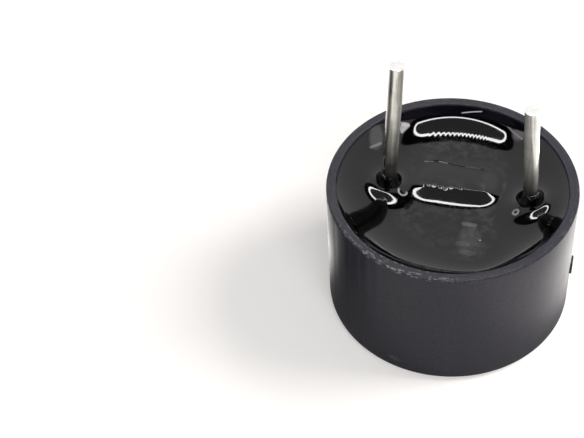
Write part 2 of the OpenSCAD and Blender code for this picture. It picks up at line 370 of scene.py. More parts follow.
# %% The streaks group: marks that run along one axis
def build_streaks():
    tree, given, made = new_group(
        "streaks",
        {"Across": ("Float", 3000.0), "Along": ("Float", 60.0), "Cover": ("Float", 0.5),
         "Softness": ("Float", 0.15)},
        {"Mask": "Float", "Height": "Float"},
    )
    sizes = combine(tree, X=given["Across"], Y=given["Across"], Z=given["Along"])
    stretched = vector_math(tree, "MULTIPLY", object_place(tree), sizes)
    grain = noise(tree, stretched, Scale=1.0, Detail=3.0)
    start = calculate(tree, "SUBTRACT", 1.0, given["Cover"])
    end = calculate(tree, "ADD", start, given["Softness"])
    give(tree, made, Mask=spread(tree, grain, start, end), Height=grain)
    return tree


# %% The specks group: sparse marks such as nicks, dust and pits
def build_specks():
    tree, given, made = new_group(
        "specks",
        {"Vector": ("Vector", None), "Scale": ("Float", 4000.0), "Size": ("Float", 0.2),
         "Share": ("Float", 0.3)},
        {"Mask": "Float"},
    )
    cells = add_node(tree, "ShaderNodeTexVoronoi", Vector=given["Vector"], Scale=given["Scale"]).outputs
    dot = spread(tree, cells["Distance"], given["Size"], product(tree, given["Size"], 0.5))
    chance = add_node(tree, "ShaderNodeSeparateColor", Color=cells["Color"]).outputs["Red"]
    kept = calculate(tree, "LESS_THAN", chance, given["Share"])
    give(tree, made, Mask=product(tree, dot, kept))
    return tree


# %% The stroke group: one line with soft ends
STROKE_SOFT = 0.03 * MM


def build_stroke():
    tree, given, made = new_group(
        "stroke",
        {"Vector": ("Vector", None), "Half length": ("Float", 0.003), "Half width": ("Float", 0.0003)},
        {"Mask": "Float"},
    )
    along = calculate(tree, "ABSOLUTE", axis_of(tree, given["Vector"], "X"))
    past_end = calculate(tree, "SUBTRACT", along, given["Half length"])
    to_line = combine(tree, X=calculate(tree, "MAXIMUM", past_end, 0.0),
                      Y=axis_of(tree, given["Vector"], "Y"))
    edge = calculate(tree, "SUBTRACT", vector_math(tree, "LENGTH", to_line), given["Half width"])
    give(tree, made, Mask=spread(tree, edge, STROKE_SOFT, -STROKE_SOFT))
    return tree


GROUPS = {
    "mottle": build_mottle(),
    "streaks": build_streaks(),
    "specks": build_specks(),
    "stroke": build_stroke(),
}
print("node groups:", ", ".join(GROUPS))


# %% Helpers for materials
def new_material(name, **constants):
    """A material with a Principled shader. What is the same all over is set on its own sockets."""
    material = bpy.data.materials.new(name)
    material.use_nodes = True
    tree = material.node_tree
    return material, tree, give(tree, tree.nodes["Principled BSDF"], **constants)


def place_group(tree, name, **inputs):
    """Places a group with its own values, and returns what it puts out."""
    return add_node(tree, "ShaderNodeGroup", {"node_tree": GROUPS[name]}, **inputs).outputs


def relief(tree, shader, height, depth, strength=1.0):
    """Gives the shader a bump of that depth in metres, on top of any it already has."""
    bump = add_node(tree, "ShaderNodeBump", Height=height, Distance=depth, Strength=strength)
    before = shader.inputs["Normal"]
    if before.is_linked:
        give(tree, bump, Normal=before.links[0].from_socket)
    give(tree, shader, Normal=bump.outputs["Normal"])


def stroke_at(tree, x, y, degrees, half_length, half_width):
    """The mask of one line round a middle, turned from X by an angle."""
    away = vector_math(tree, "SUBTRACT", object_place(tree), (x, y, 0))
    turned = add_node(tree, "ShaderNodeVectorRotate", {"rotation_type": "Z_AXIS"},
                      Vector=away, Angle=-math.radians(degrees))
    return place_group(tree, "stroke", Vector=turned.outputs["Vector"], Half_length=half_length,
                       Half_width=half_width)["Mask"]


# %% [markdown]
# ## The case
#
# The real case is one injection moulding: a cup with a thin wall, a ledge inside for the steel disc,
# a thicker floor with the sound hole, and on its side the stub where the plastic ran in. Turning a
# profile with Spin would make it too, but a cylinder that is inset and extruded from its top face
# shows each step of the cup as it is made. It has a side for each degree, so that the rim is round
# even in a close view.

# %% Sizes of the case, from the frame
case_low, case_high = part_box("case")
potting_low, potting_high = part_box("potting")

SIDES = 360
case_r = -case_low.x
bore_r = potting_high.x
foot_z = case_low.z
rim_z = case_high.z
ledge_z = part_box("diaphragm")[0].z
LEDGE_W = 0.7 * MM
FACE_T = 0.8 * MM
SOUND_HOLE_R = 1.2 * MM
RIM_ROUND = 0.08 * MM
FOOT_ROUND = 0.3 * MM
print("wall", round((case_r - bore_r) / MM, 2), "mm, height", round((rim_z - foot_z) / MM, 2), "mm")

# %% The cup, from one cylinder
case = new_cylinder("case_shell", case_r, foot_z, rim_z, SIDES)
edit(case)
pick(case, "FACE", is_at(rim_z, 1))
inset(case_r - bore_r)
extrude(z=ledge_z - rim_z)
inset(LEDGE_W)
extrude(z=foot_z + FACE_T - ledge_z)
inset(bore_r - LEDGE_W - SOUND_HOLE_R)
pick(case, "FACE", is_at(foot_z, -1))
inset(case_r - SOUND_HOLE_R)

# %% The sound hole: both small faces go, and their edges are bridged
def is_hole_cap(face):
    small = face.calc_area() < 1.05 * math.pi * SOUND_HOLE_R ** 2
    return small and len(face.verts) == SIDES


pick(case, "FACE", is_hole_cap)
bpy.ops.mesh.delete(type="ONLY_FACE")
pick(case, "EDGE", lambda edge: edge.is_boundary)
bpy.ops.mesh.bridge_edge_loops()

# %% Rounds on the rim and on the foot
rim_outer = is_circle(case_r, rim_z)
rim_inner = is_circle(bore_r, rim_z)
pick(case, "EDGE", lambda edge: rim_outer(edge) or rim_inner(edge))
bevel(RIM_ROUND, 4)
pick(case, "EDGE", is_circle(case_r, foot_z))
bevel(FOOT_ROUND, 8)
leave_edit()

# %% [markdown]
# The gate's stub is a little boss that the trimming left. It is a separate cylinder, rounded at its
# end and then joined to the cup with a Boolean, which leaves one closed solid.

# %% The gate's stub
GATE_ANGLE = math.radians(1.5)
GATE_R = 0.45 * MM
GATE_SIDES = 48
GATE_Z = 2.95 * MM
GATE_ROUND = 0.03 * MM
GATE_ROOT = 0.3 * MM         # how far it starts inside the wall
gate_end = case_high.x - 0.5 * GATE_ROUND
gate_length = gate_end - (case_r - GATE_ROOT)
gate_middle = gate_end - gate_length / 2

bpy.ops.object.select_all(action="DESELECT")
bpy.ops.mesh.primitive_cylinder_add(
    vertices=GATE_SIDES, radius=GATE_R, depth=gate_length,
    location=(gate_middle * math.cos(GATE_ANGLE), gate_middle * math.sin(GATE_ANGLE), GATE_Z),
    rotation=(0, math.pi / 2, GATE_ANGLE),
)
gate = name_it("gate_stub")
edit(gate)
pick(gate, "FACE", lambda face: len(face.verts) > 4 and face.normal.z > 0)
bevel(GATE_ROUND, 3)
leave_edit()
join(case, gate)

# %% [markdown]
# A rim that has been handled isn't perfect. A few shallow nicks are pressed into the outer edge
# where the case was gripped. They are real dents in the mesh, so they also change the outline.

# %% Nicks on the rim: degrees from +X, and depth in millimetres
NICKS = ((-132.5, 0.05), (-128.5, 0.035), (-124, 0.06), (-117.5, 0.03), (-100.5, 0.035), (-145.5, 0.03))
NICK_WIDTH = math.radians(1.6)


def nick_depth(angle):
    """How deep the nicks reach at an angle round the rim."""
    deep = 0.0
    for centre, depth in NICKS:
        away = (angle - math.radians(centre) + math.pi) % (2 * math.pi) - math.pi
        deep += depth * MM * math.exp(-(away / NICK_WIDTH) ** 2)
    return deep


for vert in case.data.vertices:
    r = vert.co.xy.length
    if vert.co.z > rim_z - RIM_ROUND - TOUCH and r > (case_r + bore_r) / 2:
        dent = nick_depth(math.atan2(vert.co.y, vert.co.x))
        vert.co.z -= dent
        vert.co.xy *= 1 - 0.5 * dent / r
settle(case)

# %% [markdown]
# ### The case's finish
#
# The plastic is nearly black with a breath of violet, and spark-eroded moulds leave it satin. Faint
# streaks run down the side, where it slid out of the mould. The bore is another surface altogether:
# the potting wetted it, so it is black and glossy, and a short white line on its far wall is a
# painted highlight. The rim's outer edge has pale dashes, partly rubbed places and partly painted
# highlights.

# %% Rubbed edges of the rim, with painted edge highlights
GRIP_PLACE = (-2.0 * MM, -5.4 * MM, rim_z)
GRIP_REACH = 3.6 * MM
GRIP_LEFT_OVER = 0.12        # how much of the rubbing is left far from the grip
# The bands where dashes may show: distance from the axis, half width and soft edge.
OUTER_BAND = (case_r - 0.08 * MM, 0.07 * MM, 0.12 * MM)
INNER_BAND = (bore_r + 0.05 * MM, 0.03 * MM, 0.08 * MM)
INNER_SHARE = 0.6
RIM_SQUEEZE = 0.3            # distances along the rim shrink to this, so marks there grow long
# Two sizes of dash: scale, size, share and strength.
DASHES = ((8000.0, 0.5, 0.25, 1.0), (16000.0, 0.6, 0.5, 0.6))


def along_rim(tree):
    """A vector that runs round the rim: distance along it, distance from the axis, and height."""
    angle = calculate(tree, "ARCTAN2", object_axis(tree, "Y"), object_axis(tree, "X"))
    return combine(tree, X=product(tree, angle, RIM_SQUEEZE * case_r), Y=object_radius(tree),
                   Z=object_axis(tree, "Z"))


def rubbed_and_highlit_edges(tree):
    """Short pale dashes on both edges of the rim, most of them where the case was gripped. They are
    partly rubbed wear and partly painted highlights.
    """
    radius = object_radius(tree)
    on_top = spread(tree, object_axis(tree, "Z"), rim_z - 0.16 * MM, rim_z - 0.02 * MM)
    edges = calculate(tree, "MAXIMUM", near(tree, radius, *OUTER_BAND),
                      product(tree, near(tree, radius, *INNER_BAND), INNER_SHARE))
    grip = spread(tree, distance_to(tree, *GRIP_PLACE), GRIP_REACH, 1 * MM, GRIP_LEFT_OVER, 1.0)
    masks = []
    for scale, size, share, strength in DASHES:
        dashes = place_group(tree, "specks", Vector=along_rim(tree), Scale=scale, Size=size, Share=share)
        masks.append(product(tree, dashes["Mask"], strength))
    return product(tree, on_top, edges, grip, calculate(tree, "MAXIMUM", *masks))


# %% The wet bore and a painted highlight line on it
WET_FROM = 0.09 * MM         # below the rim
BORE_HIGHLIGHT_X = 0.01 * MM
BORE_HIGHLIGHT_Z = 7.08 * MM
BORE_HIGHLIGHT_SLOPE = 0.3
BORE_HIGHLIGHT_HALF_LENGTH = 0.45 * MM
BORE_HIGHLIGHT_HALF_WIDTH = 0.02 * MM


def wet_bore(tree):
    """The bore below the rim, which the potting wetted."""
    return product(tree, spread(tree, object_radius(tree), bore_r + 0.03 * MM, bore_r + 0.01 * MM),
                   spread(tree, object_axis(tree, "Z"), rim_z - WET_FROM, rim_z - WET_FROM - 0.05 * MM))


def painted_bore_highlight(tree):
    """One short painted highlight line that climbs across the far wall."""
    x = calculate(tree, "SUBTRACT", object_axis(tree, "X"), BORE_HIGHLIGHT_X)
    level = calculate(tree, "SUBTRACT", object_axis(tree, "Z"), product(tree, x, BORE_HIGHLIGHT_SLOPE))
    return product(tree, near(tree, x, 0.0, BORE_HIGHLIGHT_HALF_LENGTH, 0.1 * MM),
                   near(tree, level, BORE_HIGHLIGHT_Z, BORE_HIGHLIGHT_HALF_WIDTH, 0.03 * MM),
                   spread(tree, object_axis(tree, "Y"), 0.0, 1 * MM))


# %% Case plastic
SCUFF_PLACE = (-1.57 * MM, -5.79 * MM, 0.90 * MM)    # where it stood against something
SCUFF_STRETCH = (0.4, 1, 1)
SCUFF_REACH = 0.22 * MM
WET_GLOSS = 0.08
DRAG_TONE = (0.019, 0.018, 0.027, 1)
GRAIN_TONE = (0.035, 0.033, 0.036, 1)
RUBBED_AND_HIGHLIGHT_TONE = (0.29, 0.28, 0.28, 1)
SCUFF_TONE = (0.14, 0.13, 0.14, 1)
WET_TONE = (0.006, 0.0053, 0.0095, 1)
BORE_HIGHLIGHT_TONE = (0.95, 0.95, 0.97, 1)


def case_plastic():
    material, tree, shader = new_material("case_plastic", IOR=1.5, Specular_IOR_Level=0.28)
    tone = place_group(tree, "mottle", Scale=420.0, Contrast=0.8,
                       Dark=(0.0088, 0.0082, 0.0140, 1), Light=(0.0144, 0.0136, 0.0212, 1),
                       Gloss_low=0.47, Gloss_high=0.56)
    drag = place_group(tree, "streaks", Across=1500.0, Along=60.0, Cover=0.5, Softness=0.3)
    grain = noise(tree, object_place(tree), Scale=14000.0, Detail=2.0)
    scuff = spread(tree, distance_to(tree, *SCUFF_PLACE, SCUFF_STRETCH), SCUFF_REACH, 0.02 * MM, 0.0, 0.5)
    wet = wet_bore(tree)
    colour = paint(
        tree, tone["Colour"],
        (product(tree, drag["Mask"], 0.4), DRAG_TONE),
        (spread(tree, grain, 0.5, 0.7, 0.0, 0.5), GRAIN_TONE),
        # the rim's pale dashes: partly rubbed wear, partly painted edge highlights
        (rubbed_and_highlit_edges(tree), RUBBED_AND_HIGHLIGHT_TONE),
        (product(tree, scuff, spread(tree, grain, 0.42, 0.6)), SCUFF_TONE),
        (wet, WET_TONE),
        # a painted highlight line on the wet bore's far wall
        (product(tree, wet, painted_bore_highlight(tree)), BORE_HIGHLIGHT_TONE),
    )
    give(tree, shader, Base_Color=colour,
         Roughness=spread(tree, wet, 0.0, 1.0, tone["Roughness"], WET_GLOSS))
    relief(tree, shader, product(tree, grain, calculate(tree, "SUBTRACT", 1.0, wet)), 0.006 * MM, 0.7)
    relief(tree, shader, drag["Height"], 0.004 * MM, 0.5)
    return material


hand_in(case, "case", case_plastic())

# %% [markdown]
# ## The potting
#
# The back of the buzzer is closed with a black epoxy that was poured in and left to level. Because
# it shows mirror reflections, its exact shape matters more than its colour: it is flat in the
# middle, and it creeps up the case wall and up each pin. As it cured it also sank a little, which
# left a low crest between the pins and a few soft waves.
#
# The surface is a formula over x and y. The mesh for it is a cylinder whose top face is inset ring
# by ring, closely at the wall, and every vertex of the top is then lifted to the formula's height.

# %% What the potting creeps up: the pins
POTTING_BELOW_RIM = 1.2 * MM
level_z = rim_z - POTTING_BELOW_RIM
PIN_ROOT_R = 0.354 * MM      # just outside the wire
PINS = {mount["name"]: mount for mount in frame["record"]["mounts"] if mount["kind"] == "pin"}
PIN_CREEP = {
    "pin_positive": {"height": 0.5 * MM, "width": 0.45 * MM, "reach": 2.0 * MM},
    "pin_negative": {"height": 0.6 * MM, "width": 0.54 * MM, "reach": 2.1 * MM},
}
COLLAR_HEIGHT = 0.48 * MM    # a steep cone close to each pin, on top of its creep
COLLAR_WIDTH = 0.12 * MM


def foot_of(mount):
    """Where a pin's axis passes the potting's level."""
    middle = Vector(mount["pos_m"])
    axis = Vector(mount["axis"])
    return middle + axis * ((level_z - middle.z) / axis.z)


pin_feet = {name: foot_of(mount) for name, mount in PINS.items()}
for name, foot in pin_feet.items():
    print(name, "leaves the potting at", [round(c / MM, 2) for c in foot])


def creep(distance, height, width, reach):
    """Height of the creep at a distance from what it climbs. Nothing is left at its reach."""
    if distance >= reach:
        return 0.0
    return height * (math.exp(-max(distance, 0.0) / width) - math.exp(-reach / width))


# %% What the potting creeps up: the wall
WALL_REACH = 3.2 * MM
FAR_WALL = 94.5              # degrees from +X, where the wall is far from both pins
WALL_HEIGHT = 0.45           # the creep at the far wall, in millimetres
WALL_WIDTH = 0.6
# What is added between two angles away from the far wall: millimetres, from and to degrees.
WALL_HIGHER = ((0.65, 25, 52),)
WALL_WIDER = ((0.6, 30, 100), (-0.3, 110, 180))
NEAR_TIGHT = (0.45, -60, 24)    # millimetres narrower round a bearing, and over how many degrees


def ramp(value, low, high):
    """0 up to low, 1 from high on, and a soft rise between them."""
    t = min(max((value - low) / (high - low), 0.0), 1.0)
    return t * t * (3 - 2 * t)


def wall_creep(x, y):
    """The creep at the wall: low and tight at the far wall, higher and wider beside the pins."""
    away = bore_r - math.hypot(x, y)
    if away >= WALL_REACH:
        return 0.0
    bearing = math.degrees(math.atan2(y, x))
    turned = abs((bearing - FAR_WALL + 180) % 360 - 180)
    height = WALL_HEIGHT + sum(more * ramp(turned, *span) for more, *span in WALL_HIGHER)
    width = WALL_WIDTH + sum(more * ramp(turned, *span) for more, *span in WALL_WIDER)
    less, middle, over = NEAR_TIGHT
    width -= less * math.exp(-((bearing - middle) / over) ** 2)
    return creep(away, height * MM, width * MM, WALL_REACH)


wall_heights = [wall_creep(bore_r * math.cos(a), bore_r * math.sin(a)) / MM for a in range(7)]
print("creep at the wall, in mm:", [round(height, 2) for height in wall_heights])

# %% The crest between the pins
CREST_X = 0.05               # its middle, in millimetres like all sizes of this cell
CREST_TOP = 0.7
CREST_FOOT = -0.55
CREST_BACK = 2.4             # how far it runs out behind its top
CREST_ENDS = (1.3, 2.4)      # it fades between these distances from its middle
CREST_HEIGHT = 0.226
CREST_CURVE = 1.84           # above 1, its front starts flat and ends steep
NIB_HEIGHT = 0.035
CREST_NIBS = ((-1.5, -0.03, 0.13), (-1.22, 0.02, 0.1), (-0.95, 0, 0.14), (-0.62, -0.04, 0.1),
              (-0.38, -0.1, 0.1), (-0.15, 0, 0.12), (0.35, 0.02, 0.08))


def crest(x, y):
    """A low rise, steep in front and long behind, whose torn front edge has a few nibs."""
    top = CREST_TOP + 0.04 * (x - CREST_X)
    foot = CREST_FOOT + 0.1 * (x + 0.3) ** 2
    if y < top:
        shape = min(max((y - foot) / (top - foot), 0.0), 1.0) ** CREST_CURVE
    else:
        shape = (1 - min((y - top) / CREST_BACK, 1.0) ** 2) ** 2
    rise = CREST_HEIGHT * shape * (1 - ramp(abs(x - CREST_X), *CREST_ENDS))
    for nib_x, nib_y, size in CREST_NIBS:
        away = ((x - nib_x) / size) ** 2 + ((y - nib_y - top) / (0.7 * size)) ** 2
        rise += NIB_HEIGHT * math.exp(-away)
    return rise


print("the crest's middle is", round(crest(CREST_X, CREST_TOP), 3), "mm high")

# %% The waves, the wrinkle and the bubbles, in millimetres
WAVE_HEIGHT = 0.0003
WRINKLE_Y = 2.3
WRINKLE_HEIGHT = 0.02
WRINKLE_WIDTH = 0.065
BUBBLES = ((-2.38, 0.0, 0.22), (3.13, -0.31, 0.14))    # places and radii
BUBBLE_SWELL = 0.1           # height of a bubble as a part of its radius


def waves(x, y):
    a = math.sin(2.1 * x + 0.7) * math.sin(1.7 * y + 0.4)
    b = math.sin(3.9 * x - 1.3 * y)
    return WAVE_HEIGHT * (a + 0.6 * b)


def wrinkle(x, y):
    """A thin fold that runs across behind the crest."""
    line = WRINKLE_Y + 0.2 * math.exp(-((x + 1.0) / 0.45) ** 2)
    broken = 0.8 + 0.2 * math.sin(7 * x) * math.sin(13 * x + 1)
    ends = ramp(x, -1.9, -1.6) * (1 - ramp(x, 1.1, 1.7))
    return WRINKLE_HEIGHT * broken * ends * math.exp(-((y - line) / WRINKLE_WIDTH) ** 2)


def bubble(x, y):
    """Two bubbles that stayed just under the skin and lift it."""
    rise = 0.0
    for bubble_x, bubble_y, size in BUBBLES:
        away = math.hypot(x - bubble_x, y - bubble_y) / size
        rise += BUBBLE_SWELL * size * max(1 - away ** 2, 0.0) ** 2
    return rise


def potting_height(x, y):
    z = level_z + wall_creep(x, y)
    for name, foot in pin_feet.items():
        away = max(math.hypot(x - foot.x, y - foot.y) - PIN_ROOT_R, 0.0)
        z += creep(away, **PIN_CREEP[name]) + COLLAR_HEIGHT * math.exp(-(away / COLLAR_WIDTH) ** 2)
    return z + sum(detail(x / MM, y / MM) for detail in (crest, waves, wrinkle, bubble)) * MM


# %% The potting's mesh
RING_STEP_WALL = 0.025 * MM
RING_STEP = 0.035 * MM
WALL_ZONE = 0.6 * MM         # the rings are closer this near to the wall

potting = new_cylinder("potting_fill", bore_r, potting_low.z, level_z, SIDES)
edit(potting)
pick(potting, "FACE", is_at(level_z, 1))
reached = bore_r
while reached > 2 * RING_STEP:
    step = RING_STEP_WALL if reached > bore_r - WALL_ZONE else RING_STEP
    inset(step)
    reached -= step
leave_edit()
for vert in potting.data.vertices:
    if vert.co.z > level_z - TOUCH:
        vert.co.z = potting_height(vert.co.x, vert.co.y)
settle(potting, angle=60)

# %% [markdown]
# ### The potting's finish
#
# Black epoxy is almost all reflection: nearly no colour of its own, and a surface as smooth as
# glass, with a faint haze, a few smears and a little dust that settled while it cured. Painted light
# is laid on it too: pale patches by the far wall are painted reflections, and thin painted highlights
# run along the wrinkle, round each bubble and where the surface turns up to the near wall.
#
# Below the far wall the surface also has ripples of a few micrometres side by side. They are too
# fine for the mesh, so the material tips the normal to and fro instead, which is enough for a
# mirror: the reflection there gets small teeth.

# %% Pale places on the potting, some of them painted light, in millimetres
# Round blooms: middle, stretch along X and Y, radius, and strength. The one at 2.6, 4.85, by the
# far wall, is a painted reflection.
POTTING_BLOOMS_AND_PAINTED_LIGHT = (
    (1.25, -2.25, 0.9, 0.5, 0.55, 0.03),
    (1.35, -3.05, 0.8, 1.8, 0.4, 0.05),
    (1.76, -2.16, 1.0, 1.0, 0.07, 0.4),
    (1.6, 1.55, 1.0, 0.6, 0.5, 0.02),
    (2.6, 4.85, 1.0, 1.0, 0.5, 0.3),
    (-4.3, 2.85, 1.3, 0.7, 0.5, 0.10),
)
# Smears: middle, degrees from X, half length, half width, and strength. The four by the far wall,
# round -3.2, 4.2 and at 2.3, 4.8, are painted reflections, and the three thin ones along the
# wrinkle are painted highlights.
POTTING_SMEARS_AND_PAINTED_LIGHT = (
    (1.1, -1.28, 0, 0.25, 0.12, 0.13),
    (1.1, -1.95, 90, 0.45, 0.3, 0.024),
    (1.0, -2.55, 0, 0.2, 0.14, 0.036),
    (-4.25, 2.48, 50, 0.32, 0.05, 0.25),
    (-3.1, 4.1, 63, 0.28, 0.06, 0.6),
    (-3.15, 4.31, 25, 0.16, 0.08, 0.6),
    (-3.22, 4.14, 63, 0.18, 0.1, 0.6),
    (2.3, 4.82, -41, 0.55, 0.03, 0.6),
    (-1.55, 2.38, 10, 0.2, 0.025, 0.3),
    (-0.85, 2.46, -8, 0.2, 0.025, 0.3),
    (0.65, 2.36, 0, 0.35, 0.022, 0.22),
)
PALE_SMEAR_AND_PAINTED_LIGHT_TONE = (0.5, 0.48, 0.49, 1)


def pale_smears_and_painted_light(tree):
    """A coat for each bloom and each smear, with painted reflections and highlights among them."""
    coats = []
    for x, y, stretch_x, stretch_y, size, strength in POTTING_BLOOMS_AND_PAINTED_LIGHT:
        away = distance_to(tree, x * MM, y * MM, 0, (stretch_x, stretch_y, 0))
        coats.append((spread(tree, away, size * MM, 0.6 * size * MM, 0.0, strength), PALE_SMEAR_AND_PAINTED_LIGHT_TONE))
    for x, y, degrees, half_length, half_width, strength in POTTING_SMEARS_AND_PAINTED_LIGHT:
        smear = stroke_at(tree, x * MM, y * MM, degrees, half_length * MM, half_width * MM)
        coats.append((product(tree, smear, strength), PALE_SMEAR_AND_PAINTED_LIGHT_TONE))
    return coats


# %% Ripples, in millimetres
RIPPLES_Y = 4.41             # where the surface turns up to the far wall
RIPPLES_SLANT = 0.09
RIPPLES_ALONG = (-0.45, 1.25, 0.35)    # middle, half length and soft end
RIPPLES_ACROSS = (0.0, 0.15, 0.08)
RIPPLES_PER_MM = 5.4         # at x = 0, and closer by half of x to the right
RIPPLE_TILT = 0.015


def rippled_normal(tree):
    """The surface's normal, tipped to and fro by ripples side by side below the far wall."""
    x, y = (calculate(tree, "DIVIDE", object_axis(tree, axis), MM) for axis in "XY")
    line = calculate(tree, "ADD", product(tree, x, RIPPLES_SLANT), RIPPLES_Y)
    per_mm = calculate(tree, "ADD", product(tree, x, 0.5), RIPPLES_PER_MM)
    wave = calculate(tree, "SINE", product(tree, x, per_mm, 2 * math.pi))
    where = product(tree, near(tree, calculate(tree, "SUBTRACT", y, line), *RIPPLES_ACROSS),
                    near(tree, x, *RIPPLES_ALONG))
    tip = combine(tree, Y=product(tree, where, wave, RIPPLE_TILT))
    return vector_math(tree, "NORMALIZE", vector_math(tree, "ADD", face_normal(tree), tip))


# %% Haze, and the painted highlights round the bubbles and at the near wall
LEVEL_NORMAL = (0.993, 0.9985)    # how far up a normal goes where the haze starts, and is full
BUBBLE_HIGHLIGHT_RADIUS = 0.9            # of the bubble's radius
BUBBLE_HIGHLIGHT_BAND = (0.02 * MM, 0.045 * MM)    # half width and soft edge
TURN_MIDDLE_Y = 0.3 * MM
TURN_BAND = (4.95 * MM, 0.015 * MM, 0.035 * MM)    # distance from that middle, half width, soft edge


def settled_haze(tree):
    """A mottled haze that settled wherever the surface is flat."""
    flat = spread(tree, axis_of(tree, face_normal(tree), "Z"), *LEVEL_NORMAL)
    fine = noise(tree, object_place(tree), Scale=2200.0, Detail=6.0, Roughness=0.65)
    broad = noise(tree, object_place(tree), Scale=420.0, Detail=3.0)
    return product(tree, flat, spread(tree, fine, 0.44, 0.59), spread(tree, broad, 0.38, 0.62, 0.2, 1.0))


def painted_bubble_highlights(tree):
    """A painted highlight ring round each bubble's foot. The first one's is broken behind."""
    rings = []
    for x, y, size in BUBBLES:
        away = distance_to(tree, x * MM, y * MM, 0, FLAT)
        rings.append(near(tree, away, BUBBLE_HIGHLIGHT_RADIUS * size * MM, *BUBBLE_HIGHLIGHT_BAND))
    rings[0] = product(tree, rings[0], spread(tree, object_axis(tree, "Y"), 0.12 * MM, 0.0))
    return product(tree, calculate(tree, "MAXIMUM", *rings), 0.6)


def painted_turn_highlight(tree, uneven):
    """A thin painted highlight of uneven strength, where the surface turns up to the near wall."""
    return product(tree, near(tree, distance_to(tree, 0, TURN_MIDDLE_Y, 0, FLAT), *TURN_BAND),
                   spread(tree, object_axis(tree, "Y"), -2.2 * MM, -3.0 * MM),
                   spread(tree, object_axis(tree, "X"), -3.3 * MM, -2.8 * MM),
                   spread(tree, uneven, 0.42, 0.55, 0.05, 0.16))


# %% Potting epoxy
DUST_TONE = (0.2, 0.2, 0.2, 1)
HAZE_TONE = (0.36, 0.34, 0.37, 1)
BUBBLE_HIGHLIGHT_TONE = (0.5, 0.5, 0.5, 1)
TURN_HIGHLIGHT_TONE = (0.6, 0.6, 0.62, 1)


def potting_epoxy():
    material, tree, shader = new_material("potting_epoxy", IOR=1.5, Specular_IOR_Level=0.41)
    tone = place_group(tree, "mottle", Scale=1500.0, Contrast=1.1,
                       Dark=(0.0006, 0.0005, 0.0008, 1), Light=(0.0020, 0.0019, 0.0022, 1),
                       Gloss_low=0.03, Gloss_high=0.08)
    dust = place_group(tree, "specks", Vector=object_place(tree), Scale=2600.0, Size=0.09, Share=0.05)
    colour = paint(
        tree, tone["Colour"],
        (product(tree, dust["Mask"], 0.35), DUST_TONE),
        (product(tree, settled_haze(tree), 0.08), HAZE_TONE),
        # blooms and smears, some of them painted reflections and painted highlights
        *pale_smears_and_painted_light(tree),
        # painted highlight rings round the bubbles
        (painted_bubble_highlights(tree), BUBBLE_HIGHLIGHT_TONE),
        # a painted highlight where the surface turns up to the near wall
        (painted_turn_highlight(tree, tone["Height"]), TURN_HIGHLIGHT_TONE),
    )
    give(tree, shader, Base_Color=colour, Roughness=tone["Roughness"], Normal=rippled_normal(tree))
    relief(tree, shader, tone["Height"], 0.0006 * MM, 0.5)
    return material


hand_in(potting, "potting", potting_epoxy())

# %% [markdown]
# ## The pins
#
# Each pin is tinned wire, cut with shears and never quite straight. A short cylinder is extruded
# upwards in steps, and each step moves a few micrometres sideways. Three small insets leave a fine
# burr round the cut end, and a slight dome inside it. The root is pressed square so that the pin
# can't turn in the potting: it is extruded upwards from a square start, and joined to the round wire
# with a Boolean.

# %% The round wire, with its cut end
PIN_STEPS = 26
PIN_SIDES = 48
WANDER = 0.0045 * MM
BOW = 0.003 * MM
CUT_INSETS = ((0.03, -0.012), (0.05, 0.012), (0.12, 0.006))    # width and rise, in millimetres


def round_wire(name, radius, length, seed):
    """The round part of a pin, standing on z = 0, not quite straight, with a cut end."""
    step_length = length / PIN_STEPS
    wire = new_cylinder(name, radius, 0, step_length, PIN_SIDES)
    edit(wire)
    pick(wire, "FACE", is_at(step_length, 1))
    for step in range(1, PIN_STEPS):
        x = WANDER * math.sin(0.9 * step + seed) - BOW * math.sin(seed)
        extrude(x, WANDER * math.cos(0.7 * step + 2 * seed), step_length)
    for width, rise in CUT_INSETS:
        inset(width * MM, rise * MM)
    leave_edit()
    return wire


# %% The square root, and the whole pin
ROOT_W = 0.5 * MM
ROOT_ROUND = 0.03 * MM
ROOT_IN_WIRE = 0.1 * MM      # how far the root reaches up into the round wire


def square_root(length):
    """The square root, from z = -length up to just inside the wire."""
    bpy.ops.object.select_all(action="DESELECT")
    bpy.ops.mesh.primitive_cube_add(size=1, location=(0, 0, -length / 2))
    root = name_it("root")
    root.scale = (ROOT_W, ROOT_W, length)
    apply_place(root)
    edit(root)
    pick(root, "FACE", lambda face: face.normal.z > FACING)
    extrude(z=ROOT_IN_WIRE)
    pick(root, "EDGE", lambda edge: abs(edge.verts[0].co.z - edge.verts[1].co.z) > ROOT_IN_WIRE / 2)
    bevel(ROOT_ROUND, 2)
    leave_edit()
    return root


def make_pin(node, seed):
    mount = PINS[node]
    length = mount["dims"]["length_mm"] * MM
    axis = Vector(mount["axis"])
    start = Vector(mount["pos_m"]) - axis * (length / 2)
    wire = round_wire(node + "_wire", mount["dims"]["r_mm"] * MM, length, seed)
    join(wire, square_root((start.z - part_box(node)[0].z) / axis.z))
    lean = Vector((0, 0, 1)).rotation_difference(axis).to_matrix().to_4x4()
    wire.matrix_world = Matrix.Translation(start) @ lean
    return settle(wire)


pins = {node: make_pin(node, seed) for node, seed in (("pin_positive", 0.4), ("pin_negative", 2.1))}

# %% [markdown]
# ### The pins' finish
#
# Tin is bright when new and dulls to grey. Drawing leaves fine lines along the wire. Towards the
# potting the colour is painted darker: a painted reflection of the black cup, and painted shade low
# in the cup. A wire this thin mirrors its surroundings as narrow bands from side to side, so a row
# of grey stops across the wire paints the main ones as painted reflections.

# %% Painted reflection bands across a wire
BAND_WOBBLE = 0.12           # of the radius


